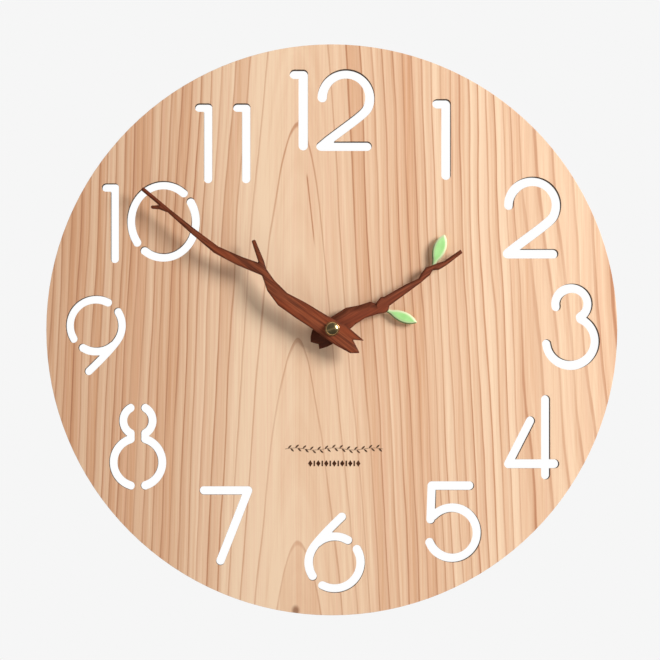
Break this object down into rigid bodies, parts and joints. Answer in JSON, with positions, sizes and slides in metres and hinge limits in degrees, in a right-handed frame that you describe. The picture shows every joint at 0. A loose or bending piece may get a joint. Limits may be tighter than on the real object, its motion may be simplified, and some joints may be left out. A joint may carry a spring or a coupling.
{
  "type": "wall clock",
  "caption": "Round wooden wall clock with numerals cut through the board, branch-shaped hands with green leaves, and a battery quartz movement on a keyhole hanger.",
  "frame": {"origin": "on the axis of the hands, at the outer face of the movement's rear cover, which rests on the wall", "axes": "+Z towards 12 o'clock, +Y into the wall, +X to the viewer's right; the clock faces -Y"},
  "size_m": [0.3, 0.0373, 0.3],
  "materials": {
    "softwood": "light softwood with a clear vertical grain, thin satin varnish",
    "rosewood": "reddish-brown hardwood, oiled, with facets cut by hand",
    "leaf_green": "pale green paint",
    "brass": "polished, slightly dulled",
    "steel": "zinc-plated sheet",
    "cell_can": "nickel-plated can",
    "rubber": "matt black",
    "black_plastic": "fine moulded texture",
    "white_plastic": "moulded acetal",
    "circuit": "green solder mask",
    "copper": "enamelled copper wire",
    "magnet": "sintered magnet",
    "cell_wrap": "printed film, plain bands"
  },
  "bodies": {
    "movement": {"dial_board": "softwood", "front_housing": "black_plastic", "rear_cover": "black_plastic", "hanger_plate": "steel", "threaded_bushing": "brass", "rubber_gasket": "rubber", "dial_washer": "brass", "mounting_nut": "brass", "train_plate": "white_plastic", "circuit_board": "circuit", "chip_dome": "rubber", "crystal_can": "steel", "stator_plate": "steel", "coil_core": "steel", "coil_bobbin": "white_plastic", "coil_winding": "copper", "positive_contact": "steel", "contact_strip": "steel", "negative_contact": "steel", "battery_spring": "steel"},
    "minute_works": {"minute_hand": "rosewood", "minute_hand_collet": "brass", "cap_nut": "brass", "minute_arbor": "brass", "clutch_spring": "steel"},
    "hour_works": {"hour_hand": "rosewood", "hour_hand_collet": "brass", "leaf_upper": "leaf_green", "leaf_lower": "leaf_green", "hour_wheel": "white_plastic"},
    "motion_work": {"motion_wheel": "white_plastic"},
    "knob": {"setting_knob": "white_plastic"},
    "centre": {"centre_wheel": "brass"},
    "third": {"third_wheel": "white_plastic"},
    "second": {"second_wheel": "white_plastic"},
    "intermediate": {"intermediate_wheel": "white_plastic"},
    "rotor": {"rotor_magnet": "magnet", "rotor_pinion": "white_plastic"},
    "battery": {"battery_can": "cell_can", "battery_label": "cell_wrap"}
  },
  "joints": [
    {"name": "minute_spin", "type": "hinge", "parent": "movement", "child": "minute_works", "pos_m": [0, 0, 0], "axis": [0, 1, 0], "continuous": true},
    {"name": "hour_spin", "type": "hinge", "parent": "movement", "child": "hour_works", "pos_m": [0, 0, 0], "axis": [0, 1, 0], "continuous": true},
    {"name": "motion_wheel_spin", "type": "hinge", "parent": "movement", "child": "motion_work", "pos_m": [0.00562, 0, 0.00974], "axis": [0, 1, 0], "continuous": true},
    {"name": "knob_spin", "type": "hinge", "parent": "movement", "child": "knob", "pos_m": [0.01752, 0, 0.01407], "axis": [0, 1, 0], "continuous": true},
    {"name": "second_wheel_spin", "type": "hinge", "parent": "movement", "child": "second", "pos_m": [0, 0, 0], "axis": [0, 1, 0], "continuous": true},
    {"name": "third_wheel_spin", "type": "hinge", "parent": "movement", "child": "third", "pos_m": [-0.0102, 0, 0], "axis": [0, 1, 0], "continuous": true},
    {"name": "centre_wheel_spin", "type": "hinge", "parent": "movement", "child": "centre", "pos_m": [0, 0, 0], "axis": [0, 1, 0], "continuous": true},
    {"name": "intermediate_wheel_spin", "type": "hinge", "parent": "movement", "child": "intermediate", "pos_m": [0.00272, 0, 0.01014], "axis": [0, 1, 0], "continuous": true},
    {"name": "rotor_spin", "type": "hinge", "parent": "movement", "child": "rotor", "pos_m": [-0.00508, 0, 0.01464], "axis": [0, 1, 0], "continuous": true},
    {"name": "battery_slide", "type": "slide", "parent": "movement", "child": "battery", "axis": [0, 1, 0], "range_m": [0, 0.03]}
  ],
  "couplings": [
    {"joint": "hour_spin", "follows": "minute_spin", "ratio": 0.083333},
    {"joint": "motion_wheel_spin", "follows": "minute_spin", "ratio": -0.33333},
    {"joint": "knob_spin", "follows": "minute_spin", "ratio": 0.66667},
    {"joint": "third_wheel_spin", "follows": "second_wheel_spin", "ratio": -0.125},
    {"joint": "centre_wheel_spin", "follows": "second_wheel_spin", "ratio": 0.016667},
    {"joint": "intermediate_wheel_spin", "follows": "second_wheel_spin", "ratio": -6},
    {"joint": "rotor_spin", "follows": "second_wheel_spin", "ratio": 30}
  ]
}
